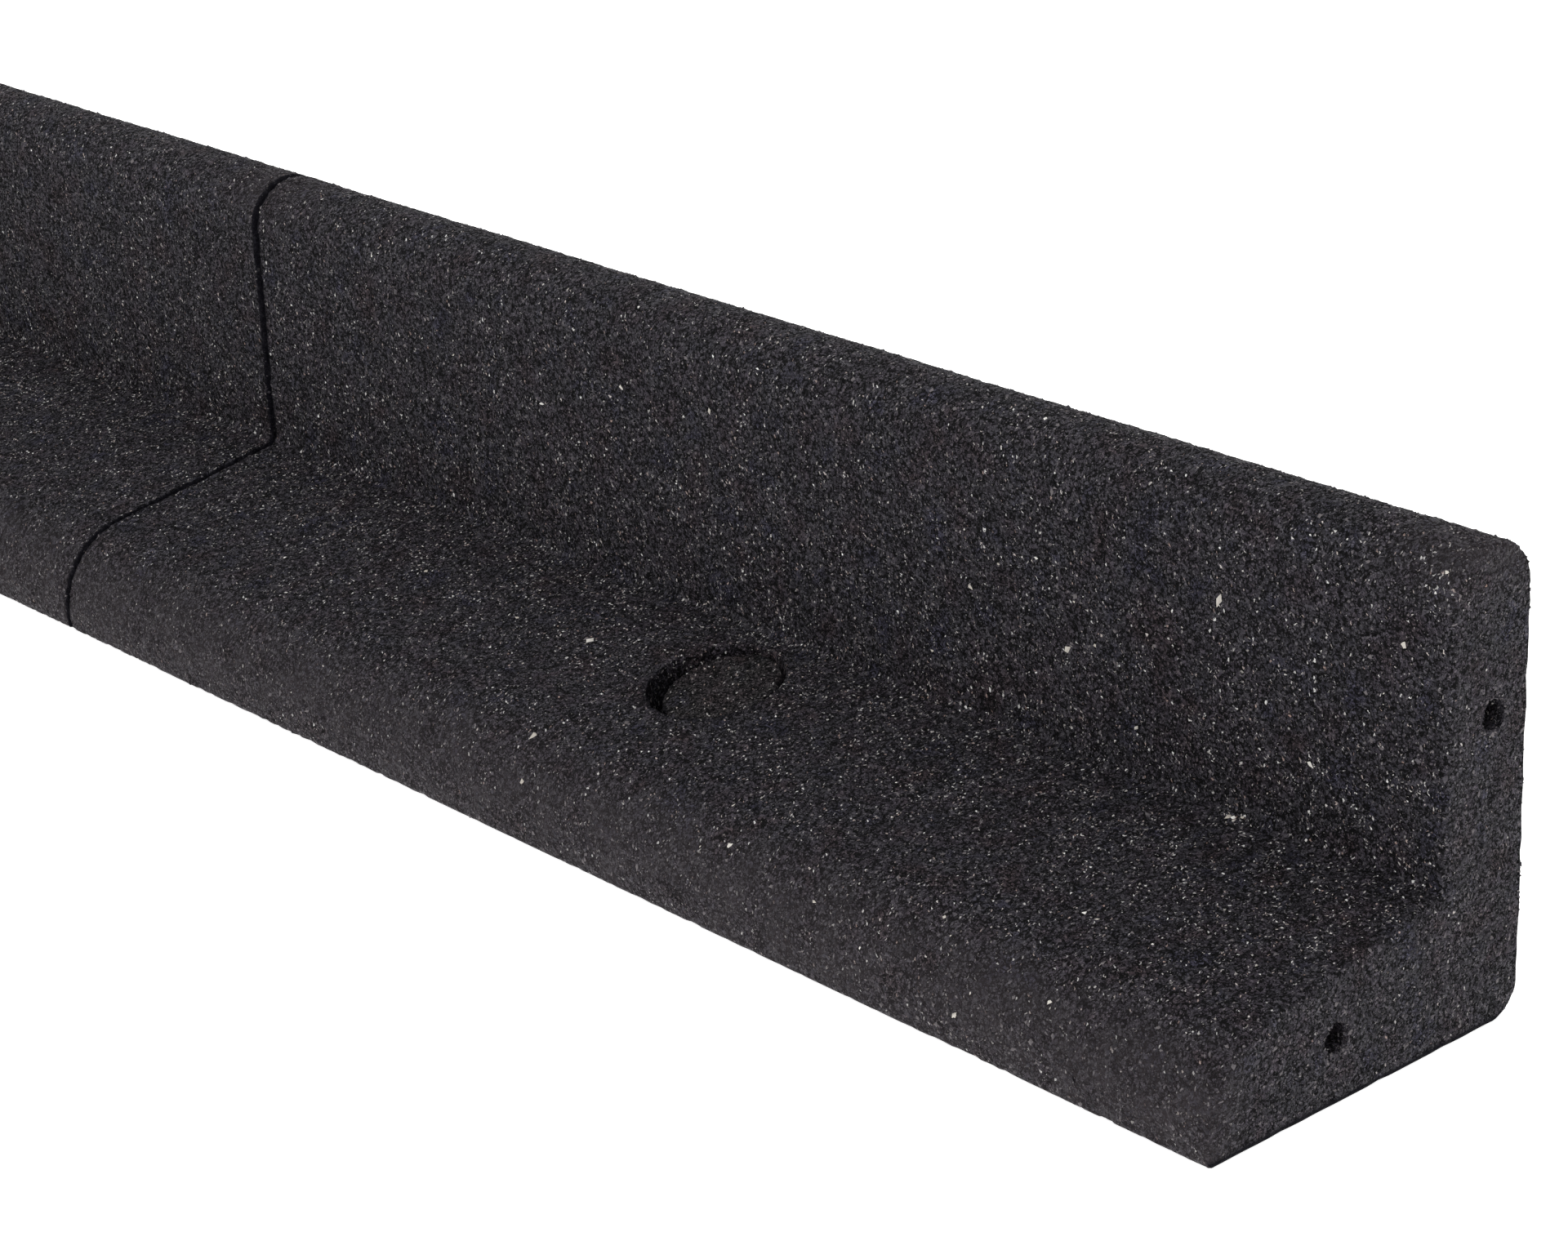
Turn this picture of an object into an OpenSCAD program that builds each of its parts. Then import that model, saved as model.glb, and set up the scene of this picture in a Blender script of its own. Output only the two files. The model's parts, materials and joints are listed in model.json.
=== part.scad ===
// Rubber kerb run: two L-section kerb modules of bonded rubber granulate, butt-joined end to end
// on two dowels. Each module has one fixing recess in its foot, with a washer and a cover plug.
// Millimetres. +X runs along the kerb towards the free end, +Y towards the upright's back, +Z up.
// The origin is on the ground, halfway along the run and halfway through its depth.

/* [Module] */
// Length of one kerb module
module_l = 1000; // [500:10:1200]
// Overall height of the upright
kerb_h = 264; // [200:1:320]
// Overall depth from the toe to the back
kerb_d = 232; // [200:1:260]
// Thickness of the upright
upright_t = 62; // [50:1:70]
// Height of the foot where it meets the upright
foot_h = 87; // [80:1:100]
// Fall of the foot's top towards the toe, in degrees
foot_fall = 10; // [4:0.5:12]
// Height of the centre of the toe's round above the ground
toe_centre_h = 13; // [8:1:16]
// Radius of the rounded heel, under the back of the upright
heel_r = 18; // [6:1:24]

/* [Joint between modules] */
// Gap between the two butted end faces
seam_gap = 0.5; // [0.3:0.1:2]
// Radius of a dowel socket
socket_r = 8.1; // [6:0.1:10]
// Depth of a dowel socket
socket_depth = 55; // [45:1:70]
// Distance of the upper socket from the back
upper_socket_from_back = 27; // [22:1:34]
// Height of the upper socket
upper_socket_h = 172; // [140:1:200]
// Distance of the lower socket from the back
lower_socket_from_back = 140; // [130:1:150]
// Height of the lower socket
lower_socket_h = 37; // [34:1:40]
// Length of a dowel
dowel_l = 100; // [80:1:106]
// Height of a barb on the dowel's gripped half
barb = 0.25; // [0.1:0.05:0.4]

/* [Fixing] */
// Distance of the fixing hole from the back
fixing_from_back = 116; // [108:1:128]
// Place of the fixing hole along a module, as a share of its length from the +X end
fixing_share = 0.485; // [0.3:0.005:0.7]
// Radius of the recess in the foot's top
recess_r = 40; // [36:0.5:42]
// Height of the recess floor above the ground
recess_floor_h = 44; // [38:1:50]
// Radius of the anchor hole through the foot
anchor_r = 7; // [5:0.5:8]
// Outer radius of the washer
washer_r = 29; // [22:1:34]
// Thickness of the washer
washer_t = 6; // [3:0.5:7]
// Radius of the cover plug
plug_r = 36; // [32:0.5:36.5]
// How far the loosely fitting cover plug lies off the recess's centre, along X
plug_off_x = 3; // [0:0.1:3.2]
// How far it lies off the recess's centre, along Y
plug_off_y = 2; // [0:0.1:2.2]
// Depth of the cover plug's top below the foot's top, whose fall it follows
plug_sunk = 4; // [1:0.5:8]
// Radius of the pocket under the plug, for the anchor's head
pocket_r = 14; // [11:1:18]
// Depth of the pocket under the plug
pocket_depth = 12; // [9:1:13]

/* [Hidden] */
$fn = 96;
back_y = kerb_d / 2;
front_y = -kerb_d / 2;
upright_y = back_y - upright_t;
crown_r = upright_t / 2;
foot_run = kerb_d - upright_t;
toe_r = (foot_h - toe_centre_h - foot_run * tan(foot_fall))
        / (1 / cos(foot_fall) - tan(foot_fall));
toe_c = [front_y + toe_r, toe_centre_h];
toe_tangent = toe_c + toe_r * [-sin(foot_fall), cos(foot_fall)];
root = [upright_y, foot_h];
near_x = seam_gap / 2;
far_x = -seam_gap / 2 - module_l;
upper_socket = [back_y - upper_socket_from_back, upper_socket_h];
lower_socket = [back_y - lower_socket_from_back, lower_socket_h];
fixing_y = back_y - fixing_from_back;
fixing_x = module_l * (1 - fixing_share);
plug_floor_h = recess_floor_h + washer_t;
plug_t = foot_h - (upright_y - fixing_y - plug_off_y) * tan(foot_fall) - plug_sunk
         - plug_floor_h;
dowel_r = socket_r - 0.05;
barb_pitch = 9;
barb_count = 4;
end_chamfer = 2;
cut = 1;

// The L section in the Y-Z plane: an upright with a half-round crown and a rounded heel,
// and a foot whose top falls to a large round at the toe.
module section() {
    difference() {
        union() {
            translate([upright_y, 0]) square([upright_t, kerb_h - crown_r]);
            translate([back_y - crown_r, kerb_h - crown_r]) circle(crown_r);
            foot_section();
        }
        difference() {
            translate([back_y - heel_r, -cut]) square(heel_r + cut);
            translate([back_y - heel_r, heel_r]) circle(heel_r);
            translate([back_y - heel_r, heel_r]) square(heel_r + cut);
        }
    }
}

module foot_section() {
    intersection() {
        union() {
            translate(toe_c) circle(toe_r);
            polygon([[toe_c.x, 0], [upright_y + cut, 0], [upright_y + cut, foot_h], root,
                     toe_tangent, toe_c]);
        }
        translate([front_y - cut, 0]) square([kerb_d, kerb_h]);
    }
}

// Stands a drawing of the Y-Z plane up and runs it along +X from x.
module along_x(x, length) {
    translate([x, 0, 0]) rotate([90, 0, 90]) linear_extrude(length) children();
}

// Both dowel sockets in an end face at x, cut from x to x + depth.
module sockets(x, depth) {
    for (place = [upper_socket, lower_socket])
        translate([x, place.x, place.y]) rotate([0, 90, 0]) cylinder(h = depth, r = socket_r);
}

module kerb(x) {
    color("#302e31") difference() {
        along_x(x, module_l) section();
        sockets(x - cut, socket_depth + cut);
        sockets(x + module_l - socket_depth, socket_depth + cut);
        translate([x + fixing_x, fixing_y, 0]) {
            translate([0, 0, -cut]) cylinder(h = kerb_h, r = anchor_r);
            translate([0, 0, recess_floor_h]) cylinder(h = kerb_h, r = recess_r);
        }
    }
}

// A dowel across the seam: its +X half is barbed and grips the near module, its -X half is plain.
module dowel(place) {
    half = dowel_l / 2;
    color("#3a3a3c") translate([0, place.x, place.y]) rotate([0, 90, 0]) rotate_extrude()
        union() {
            polygon([[0, -half], [dowel_r - end_chamfer, -half], [dowel_r, -half + end_chamfer],
                     [dowel_r, half - end_chamfer], [dowel_r - end_chamfer, half], [0, half]]);
            for (i = [0 : barb_count - 1]) {
                z = near_x + 6 + i * barb_pitch;
                polygon([[dowel_r - cut, z], [socket_r + barb, z],
                         [dowel_r, z + barb_pitch / 2], [dowel_r - cut, z + barb_pitch / 2]]);
            }
        }
}

module washer(x) {
    color("#9a9c9e") translate([x + fixing_x, fixing_y, recess_floor_h]) difference() {
        cylinder(h = washer_t, r = washer_r);
        translate([0, 0, -cut]) cylinder(h = washer_t + 2 * cut, r = anchor_r);
    }
}

// A disc as thick as plug_t along its axis, with its top cut parallel to the foot's top.
module cover_plug(x) {
    place = [x + fixing_x + plug_off_x, fixing_y + plug_off_y, plug_floor_h];
    color("#37332f") translate(place) difference() {
        cylinder(h = plug_t + plug_r, r = plug_r);
        translate([0, 0, -cut]) cylinder(h = pocket_depth + cut, r = pocket_r);
        translate([0, 0, plug_t]) rotate([foot_fall, 0, 0])
            translate([-2 * plug_r, -2 * plug_r, 0]) cube(4 * plug_r);
    }
}

module near_kerb() kerb(near_x);
module far_kerb() kerb(far_x);
module upper_dowel() dowel(upper_socket);
module lower_dowel() dowel(lower_socket);
module near_washer() washer(near_x);
module far_washer() washer(far_x);
module near_cover_plug() cover_plug(near_x);
module far_cover_plug() cover_plug(far_x);

near_kerb();
far_kerb();
upper_dowel();
lower_dowel();
near_washer();
far_washer();
near_cover_plug();
far_cover_plug();
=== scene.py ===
"""Looks of a rubber kerb run: L-section modules of bonded rubber granulate, their cover plugs,
washers and dowels, in metres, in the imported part's own frame."""

from functools import partial
import json
import math

import bpy
import numpy as np
from mathutils import Matrix, Vector
from mathutils.geometry import delaunay_2d_cdt


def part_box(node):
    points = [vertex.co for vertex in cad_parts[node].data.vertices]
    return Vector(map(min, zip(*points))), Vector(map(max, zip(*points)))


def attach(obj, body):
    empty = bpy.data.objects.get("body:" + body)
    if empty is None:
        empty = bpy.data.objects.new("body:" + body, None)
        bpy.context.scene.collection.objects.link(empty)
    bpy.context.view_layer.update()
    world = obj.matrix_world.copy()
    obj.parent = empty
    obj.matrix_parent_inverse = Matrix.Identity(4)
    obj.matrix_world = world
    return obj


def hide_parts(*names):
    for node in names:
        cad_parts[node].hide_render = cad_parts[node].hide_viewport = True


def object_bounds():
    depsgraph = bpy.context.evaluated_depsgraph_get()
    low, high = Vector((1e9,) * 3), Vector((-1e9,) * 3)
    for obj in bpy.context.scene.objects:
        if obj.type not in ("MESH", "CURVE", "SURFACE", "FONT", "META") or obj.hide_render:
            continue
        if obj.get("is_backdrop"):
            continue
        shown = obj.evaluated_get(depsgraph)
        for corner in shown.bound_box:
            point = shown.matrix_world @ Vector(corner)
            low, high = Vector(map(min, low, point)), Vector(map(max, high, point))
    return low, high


MM = 0.001

# The section's own sizes; its outer sizes come from the frame.
UPRIGHT_T = 62 * MM
FOOT_H = 87 * MM
FOOT_FALL = math.radians(10)
TOE_CENTRE_H = 13 * MM
HEEL_R = 18 * MM
ROOT_R = 4 * MM
TOE_EDGE_R = 3 * MM
EDGE_ALONG = 3.0 * MM
EDGE_DEEP = 6.5 * MM
EDGE_FADE = 18 * MM
CRISP = 0.4
MOUTH_R = 1.2 * MM
HOLE_LIP = 0.6 * MM

# How far apart the skin's points lie: on the faces that are seen, on the back and underside,
# and along X in and between the end zones.
FINE = 2.3 * MM
COARSE = 8 * MM
END_FINE = 1.7 * MM
MIDDLE = 4.2 * MM
END_ZONE = 90 * MM
LATTICE = 0.87
CLEAR = 0.6 * FINE
SOCKET_POINTS = 40
SOCKET_START = 4 * MM
SOCKET_STEP = 3 * MM
MOUTH_CLEAR = 2.4 * MOUTH_R
RECESS_POINTS = 120
HOLE_POINTS = 36
WALL_ROWS = 10
FLOOR_ROWS = 14
PLUG_STEP = 1.8 * MM
WASHER_STEP, WASHER_POINTS = 1.5 * MM, 96
DOWEL_STEP, DOWEL_POINTS = 0.75 * MM, 72

# The fixing recess, and the plug in it.
RECESS_R = 40 * MM
POCKET_R = 14 * MM
POCKET_DEPTH = 12 * MM
PLUG_SHRUNK = 1 * MM
PLUG_SOFT = 2 * MM
PLUG_RAISED = 0.4 * MM
PLUG_SUNK = 0.3 * MM
PLUG_LEAN = np.array([0.05, 0.09])
WASHER_SOFT = 0.6 * MM

# The dowels.
BARB = 0.25 * MM
BARB_INSET = 0.05 * MM
BARB_START = 6 * MM
BARB_PITCH = 9 * MM
BARB_COUNT = 4
FLUTE = 0.9 * MM
FLUTES = 6
FLUTE_START = 3 * MM
FLUTE_FADE = 2 * MM
FLUTE_END = 4 * MM
DOWEL_CHAMFER = 2 * MM

# The moulded relief: each kind's size, how far it bulges, and how much one may stand higher.
WAVE, WAVE_BULGE = 70 * MM, 0.35 * MM
LUMP, LUMP_BULGE, LUMP_STEP = 7 * MM, 0.55 * MM, 0.35 * MM
GRAIN, GRAIN_BULGE, GRAIN_STEP = 3.4 * MM, 0.45 * MM, 0.5 * MM
TORN_OVER = 0.95
TORN_DEPTH = 0.8 * MM
KERB_SUNK = 0.6 * MM

# The granulate in the material: its shreds, the crumbs packed between them, and how it shines.
GRANULE = 2.4 * MM
CRUMB = 1.05 * MM
RUBBER = {"IOR": 1.52, "Specular IOR Level": 0.15}

# The loose crumbs on the skin, and how thickly they lie in places.
SHARD = 1.9 * MM
SHARD_SUNK = 0.8
SHARDS_A_PIECE = 24000
NEAR_PIECES = 3
FAR_PIECES = 2
MOUTH_REACH = 5 * MM
MOUTH_CRUMBS = 12
EDGE_REACH = 10 * MM
EDGE_CRUMBS = 1.5
BACK_CRUMBS = 0.5

# The seam: the butted faces' swelling, and how far they and the crumbs keep from its plane.
BUTT_GAP = 0.3 * MM
SWELL = 0.3 * MM
TOUCH = 0.01 * MM
SEAM_CLEAR = 2.5 * MM

# Where pale grains and painted glints, dust and painted shade show, and how strongly.
CORNER_REACH = 90 * MM
FACE_GRAINS_AND_GLINTS = 0.7
CORNER_GRAINS_AND_GLINTS = 1.1
END_GRAINS_AND_GLINTS = 0.3
BACK_GRAINS_AND_GLINTS = 0.5
WORN_GRAINS_AND_GLINTS = 1.8
WORN_SPOT = np.array([0.985, 0.062, 0.247])
WORN_REACH = 15 * MM
PLUG_GRAINS_AND_GLINTS = 0.9
DUST_W = 34 * MM
# The height of the band of painted contact shadow under the end faces, kept clear of crumbs and
# chips.
SHADOW_BAND_H = 4.8 * MM
GROOVE_W = 4.8 * MM
GROOVE_DEEP = EDGE_DEEP + 2 * MM
GROOVE_SHADE = 0.9
JOINT_W = 3 * MM
JOINT_SHADE = 0.75

# The larger pale chips that lie bare on the near module: place and size, in millimetres.
CHIPS = np.array([
    (569, 15, 80, 4.2), (470, -110, 37, 6.0), (857, -54, 68, 4.4), (668, 54, 161, 4.8),
    (834, -111, 34, 3.8), (791, 54, 114, 4.2), (411, -8, 76, 4.4), (715, -107, 42, 4.2),
    (962, -41, 70, 3.6), (455, 54, 211, 4.4), (971, 54, 211, 3.4), (813, -21, 74, 3.4),
    (297, 54, 181, 4.8), (373, 54, 208, 4.4), (690, 54, 179, 3.6), (851, 54, 202, 4.2),
    (794, -92, 57, 3.0), (884, -105, 45, 3.8), (741, 54, 145, 3.4), (882, -14, 75, 3.2),
    (827, -115, 21, 3.4), (746, 54, 173, 3.4), (808, -99, 51, 3.0), (640, -101, 50, 3.2),
    (462, -92, 57, 3.6), (912, 54, 129, 3.2), (958, 54, 182, 3.4), (957, 54, 177, 3.0),
    (989, 62, 253, 2.6), (621, -83, 62, 2.8), (907, -56, 68, 3.0), (721, 54, 191, 3.0),
    (705, 74, 262, 3.4), (860, 50, 87, 3.4), (863, 51, 87, 4.0), (866, 49, 87, 3.4),
    (862, 47, 86, 3.0), (867, 52, 89, 2.8), (858, 52, 89, 2.6)])

# The small ones that lie at random, and how large each is made for its size.
CHIPS_A_MODULE = 110
CHIP = 1.8 * MM
CHIP_SPAN = 1.05
CHIP_SUNK = 0.2

# The camera, and the light in the studio.
EYE = Vector((2.0993, -1.3272, 0.9363))
YAW = math.radians(-48.937)
PITCH = math.radians(21.793)
ROLL = math.radians(-2.065)
LENS = 90.07
SENSOR = 36
FLOOR_GLOW = 0.75
FLOOR_HALF = 14.0
AIR_LOW = 0.42
AIR_HIGH = 0.95
FRONT_POWER = 9.8
TOP_POWER = 22.0


def rgb(code):
    """A hex sRGB colour as linear red, green and blue."""
    parts = [int(code[i:i + 2], 16) / 255 for i in (1, 3, 5)]
    return [c / 12.92 if c <= 0.04045 else ((c + 0.055) / 1.055) ** 2.4 for c in parts]


def rgba(code):
    """The same with an alpha of 1."""
    return [*rgb(code), 1.0]


# ------------------------------------------ random fields

def scramble(cell, seed):
    """One number from 0 to 1 for each whole-number cell: its coordinates times large primes,
    mixed by shifts and products of 32-bit integers."""
    n = (cell[..., 0] * 374761393 + cell[..., 1] * 668265263 + cell[..., 2] * 2147483647
         + seed * 1274126177).astype(np.uint32)
    n = (n ^ (n >> 13)) * np.uint32(1274126177)
    n = (n ^ (n >> 16)) * np.uint32(2246822519)
    return ((n ^ (n >> 15)) & np.uint32(0xFFFFFF)) / float(0xFFFFFF)


def cells(points, size, seed):
    """Worley cells: one random point in each cube of a lattice. Returns the distance to the
    nearest, in cubes, and that one's own random number."""
    place = points / size
    cube = np.floor(place).astype(np.int64)
    nearest = np.full(len(points), 9.0)
    number = np.zeros(len(points))
    for step in np.ndindex(3, 3, 3):
        near = cube + np.array(step) - 1
        feature = near + np.stack([scramble(near, seed + k) for k in range(3)], -1)
        distance = np.linalg.norm(place - feature, axis=1)
        closer = distance < nearest
        nearest = np.where(closer, distance, nearest)
        number = np.where(closer, scramble(near, seed + 7), number)
    return nearest, number


def waves(points, size, seed):
    """Value noise from -1 to 1: random numbers on a lattice, blended by a smooth cubic."""
    place = points / size
    cube = np.floor(place).astype(np.int64)
    part = place - cube
    part = part * part * (3 - 2 * part)
    total = np.zeros(len(points))
    for step in np.ndindex(2, 2, 2):
        corner = np.array(step)
        weight = np.prod(np.where(corner, part, 1 - part), axis=1)
        total += weight * scramble(cube + corner, seed)
    return 2 * total - 1


def relief(points, seed):
    """Height of the moulded granulate: long soft waves of the mould, lumps of packed granules,
    and single granules that stand out or have been torn away."""
    lump, lump_number = cells(points, LUMP, seed)
    grain, grain_number = cells(points, GRAIN, seed + 20)
    height = WAVE_BULGE * waves(points, WAVE, seed + 40)
    height += LUMP_BULGE * (0.5 - lump) + LUMP_STEP * (lump_number - 0.5)
    height += GRAIN_BULGE * (0.5 - grain) + GRAIN_STEP * (grain_number - 0.5)
    return height - TORN_DEPTH * (grain_number > TORN_OVER)


# ------------------------------------------ skins

class Skin:
    """A closed skin gathered from patches: points and triangles as whole arrays."""

    def __init__(self):
        self.points = []
        self.triangles = []
        self.count = 0

    def add(self, points):
        """Keeps the points and returns their numbers, in the same shape."""
        start = self.count
        flat = np.asarray(points, float).reshape(-1, 3)
        self.points.append(flat)
        self.count += len(flat)
        return np.arange(start, self.count).reshape(np.asarray(points).shape[:-1])

    def close(self, made, flip):
        """Keeps triangles, turned over where flip says so."""
        self.triangles.append(made[:, ::-1] if flip else made)

    def grid(self, index, flip=False, keep=None):
        """Two triangles between each pair of neighbouring rows and columns, the last of which
        joins the first. Keep says which of the squares are wanted."""
        wide = np.concatenate([index, index[:, :1]], 1)
        a, b, c, d = wide[:-1, :-1], wide[:-1, 1:], wide[1:, 1:], wide[1:, :-1]
        if keep is not None:
            a, b, c, d = a[keep], b[keep], c[keep], d[keep]
        self.close(np.stack([a, b, c, a, c, d], -1).reshape(-1, 3), flip)

    def fan(self, ring, centre, flip=False):
        """Closes a ring of numbers with triangles to one point."""
        hub = self.add(np.asarray(centre, float).reshape(1, 3))[0]
        self.close(np.stack([ring, np.roll(ring, -1), np.full(len(ring), hub)], -1), flip)

    def plate(self, numbers, flat, outer, holes, flip=False):
        """Fills a flat region. Numbers are the points' numbers and flat their places in the
        plane; outer is the edge's positions in that list, and holes those of each hole."""
        loops = [outer, *holes]
        edges = [(int(a), int(b)) for loop in loops for a, b in zip(loop, np.roll(loop, -1))]
        _, _, faces, origin, _, _ = delaunay_2d_cdt(
            [Vector(p) for p in flat.tolist()], edges, [], 0, 1e-9)
        faces = np.array(faces)
        back = np.array([o[0] for o in origin])
        faces = back[faces]
        middle = flat[faces].mean(1)
        wanted = inside(middle, flat[outer])
        for hole in holes:
            wanted &= ~inside(middle, flat[hole])
        faces = faces[wanted]
        side_1 = flat[faces[:, 1]] - flat[faces[:, 0]]
        side_2 = flat[faces[:, 2]] - flat[faces[:, 0]]
        turned = side_1[:, 0] * side_2[:, 1] < side_1[:, 1] * side_2[:, 0]
        faces[turned] = faces[turned][:, ::-1]
        self.close(numbers[faces], flip)

    def arrays(self):
        """The whole skin's points and triangles."""
        return np.concatenate(self.points), np.concatenate(self.triangles)


def inside(points, loop):
    """Whether each point is inside a closed loop, by counting the edges to its right."""
    a, b = loop, np.roll(loop, -1, 0)
    x, y = points[:, :1], points[:, 1:]
    spans = (a[:, 1] > y) != (b[:, 1] > y)
    rise = np.where(b[:, 1] == a[:, 1], 1.0, b[:, 1] - a[:, 1])
    cross = a[:, 0] + (y - a[:, 1]) * (b[:, 0] - a[:, 0]) / rise
    return (spans & (x < cross)).sum(1) % 2 == 1


def clear_of(points, loop, gap):
    """Whether each point is at least gap away from every point of a loop."""
    return np.linalg.norm(points[:, None] - loop[None], axis=2).min(1) > gap


def facings(points, triangles):
    """Each triangle's cross product: its outward direction, as long as twice its area."""
    corner = points[triangles]
    return np.cross(corner[:, 1] - corner[:, 0], corner[:, 2] - corner[:, 0])


def normals_of(points, triangles):
    """Each point's outward direction: the sum of its triangles' cross products, made unit."""
    facing = facings(points, triangles)
    total = np.zeros_like(points)
    for k in range(3):
        np.add.at(total, triangles[:, k], facing)
    return total / np.maximum(np.linalg.norm(total, axis=1, keepdims=True), 1e-12)


def new_object(name, data):
    """A new object, linked to the scene."""
    made = bpy.data.objects.new(name, data)
    bpy.context.scene.collection.objects.link(made)
    return made


def piece(name, points, triangles, material, body, smooth=True):
    """Makes the mesh object and puts it on its body."""
    mesh = bpy.data.meshes.new(name)
    mesh.vertices.add(len(points))
    mesh.vertices.foreach_set("co", points.astype(np.float32).ravel())
    mesh.loops.add(triangles.size)
    mesh.loops.foreach_set("vertex_index", triangles.astype(np.int32).ravel())
    mesh.polygons.add(len(triangles))
    mesh.polygons.foreach_set("loop_start", np.arange(0, triangles.size, 3, dtype=np.int32))
    mesh.polygons.foreach_set("use_smooth", np.full(len(triangles), smooth))
    mesh.update(calc_edges=True)
    mesh.validate()
    mesh.materials.append(material)
    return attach(new_object(name, mesh), body)


# ------------------------------------------ the kerb's section

def arc(centre, radius, start, end, step):
    """Points on a circle between two angles in degrees, about step apart, without the last."""
    count = max(3, round(abs(math.radians(end - start)) * radius / step))
    angle = np.radians(np.linspace(start, end, count, endpoint=False))
    return np.array(centre) + radius * np.stack([np.cos(angle), np.sin(angle)], -1)


def line(start, end, step):
    """Points on a straight line, about step apart, without the last."""
    start, end = np.array(start), np.array(end)
    count = max(1, round(np.linalg.norm(end - start) / step))
    return start + (end - start) * np.linspace(0, 1, count, endpoint=False)[:, None]


class Section:
    """The L outline in the Y-Z plane, anticlockwise seen from +X: underside, heel, back, crown,
    upright, inner corner, falling foot, toe."""

    def __init__(self, low, high):
        front, back, top = low.y, high.y, high.z
        tan, cos, sin = math.tan(FOOT_FALL), math.cos(FOOT_FALL), math.sin(FOOT_FALL)
        face_y = back - UPRIGHT_T
        crown_r = UPRIGHT_T / 2
        toe_r = (FOOT_H - TOE_CENTRE_H - (face_y - front) * tan) / (1 / cos - tan)
        toe_c = (front + toe_r, TOE_CENTRE_H)
        root_c = (face_y - ROOT_R, FOOT_H + ROOT_R * (1 - sin) / cos)
        fall = 90 + math.degrees(FOOT_FALL)
        # The toe's under-edge is a small arc inside the large one, resting on the ground.
        inner = toe_r - TOE_EDGE_R
        drop = TOE_CENTRE_H - TOE_EDGE_R
        edge_c = (toe_c[0] - math.sqrt(inner ** 2 - drop ** 2), TOE_EDGE_R)
        edge_angle = 180 + math.degrees(math.asin(drop / inner))
        parts = [
            line((edge_c[0], 0), (back - HEEL_R, 0), COARSE),
            arc((back - HEEL_R, HEEL_R), HEEL_R, -90, 0, FINE),
            line((back, HEEL_R), (back, top - crown_r), COARSE),
            arc((back - crown_r, top - crown_r), crown_r, 0, 180, FINE),
            line((face_y, top - crown_r), (face_y, root_c[1]), FINE),
            arc(root_c, ROOT_R, 0, math.degrees(FOOT_FALL) - 90, 0.8 * FINE),
        ]
        root_end = (root_c[0] + ROOT_R * sin, root_c[1] - ROOT_R * cos)
        toe_start = (toe_c[0] - toe_r * sin, toe_c[1] + toe_r * cos)
        parts.append(line(root_end, toe_start, FINE))
        parts.append(arc(toe_c, toe_r, fall, edge_angle, FINE))
        parts.append(arc(edge_c, TOE_EDGE_R, edge_angle, 270, FINE / 2))
        self.points = np.concatenate(parts)
        starts = np.cumsum([0] + [len(p) for p in parts])
        self.under = (starts[0], starts[1])
        self.fall = (starts[6], starts[7])
        # The end edges are worn round where they are open, and crisper below and behind.
        open_y = np.clip((back - self.points[:, 0]) / EDGE_FADE, 0, 1)
        open_z = np.clip(self.points[:, 1] / EDGE_FADE, 0, 1)
        self.worn = CRISP + (1 - CRISP) * np.minimum(open_y, open_z)

    def inset(self, depth):
        """The outline moved inwards by depth, along its own normals."""
        ahead, behind = np.roll(self.points, -1, 0), np.roll(self.points, 1, 0)
        along = ahead - behind
        out = np.stack([along[:, 1], -along[:, 0]], -1)
        out /= np.linalg.norm(out, axis=1, keepdims=True)
        return self.points - depth * self.worn[:, None] * out


def stations(start, end):
    """Places along X for the rings: close together in each end zone, wider between."""
    zone = np.arange(0, END_ZONE, END_FINE)
    middle = np.linspace(END_ZONE, end - start - END_ZONE,
                         round((end - start - 2 * END_ZONE) / MIDDLE))
    return np.concatenate([start + zone, start + middle, (end - zone)[::-1]])


def circle(count):
    """Points round the unit circle."""
    angle = np.linspace(0, 2 * math.pi, count, endpoint=False)
    return np.stack([np.cos(angle), np.sin(angle)], -1)


def end_plate(skin, ring, place, outline, sockets, facing):
    """The end face: a plate with round sockets. Each socket is a ring carried inwards, with a
    rounded mouth, and closed by a fan."""
    loops = [np.array(centre) + (radius + MOUTH_R) * circle(SOCKET_POINTS)
             for centre, radius, _ in sockets]
    low, high = outline.min(0), outline.max(0)
    across = np.arange(low[0], high[0], FINE)
    up = np.arange(low[1], high[1], FINE * LATTICE)
    y, z = np.meshgrid(across, up)
    y = y + (np.arange(len(up)) % 2)[:, None] * FINE / 2
    loose = np.stack([y.ravel(), z.ravel()], -1)
    loose = loose[inside(loose, outline) & clear_of(loose, outline, CLEAR)]
    for centre, radius, _ in sockets:
        loose = loose[np.linalg.norm(loose - np.array(centre), axis=1) > radius + MOUTH_CLEAR]

    def stand(flat, x):
        return np.concatenate([np.full((len(flat), 1), x), flat], 1)

    mouths = [skin.add(stand(loop, place)) for loop in loops]
    numbers = np.concatenate([ring, skin.add(stand(loose, place)), *mouths])
    flat = np.concatenate([outline, loose, *loops])
    mouth_points = np.arange(len(sockets) * SOCKET_POINTS).reshape(len(sockets), -1)
    holes = len(outline) + len(loose) + mouth_points
    skin.plate(numbers, flat, np.arange(len(outline)), holes, flip=facing < 0)
    for mouth, (centre, radius, depth) in zip(mouths, sockets):
        turn = np.radians([30, 60, 90])
        rings = [(MOUTH_R * (1 - math.cos(t)), radius + MOUTH_R * (1 - math.sin(t))) for t in turn]
        rings += [(d, radius) for d in np.arange(SOCKET_START, depth, SOCKET_STEP)]
        rings += [(depth, radius * share) for share in (1.0, 0.67, 0.33)]
        walls = [skin.add(stand(np.array(centre) + r * circle(SOCKET_POINTS), place - facing * d))
                 for d, r in rings]
        skin.grid(np.array([mouth, *walls]), flip=facing < 0)
        skin.fan(walls[-1], (place - facing * depth, *centre), flip=facing < 0)


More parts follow.
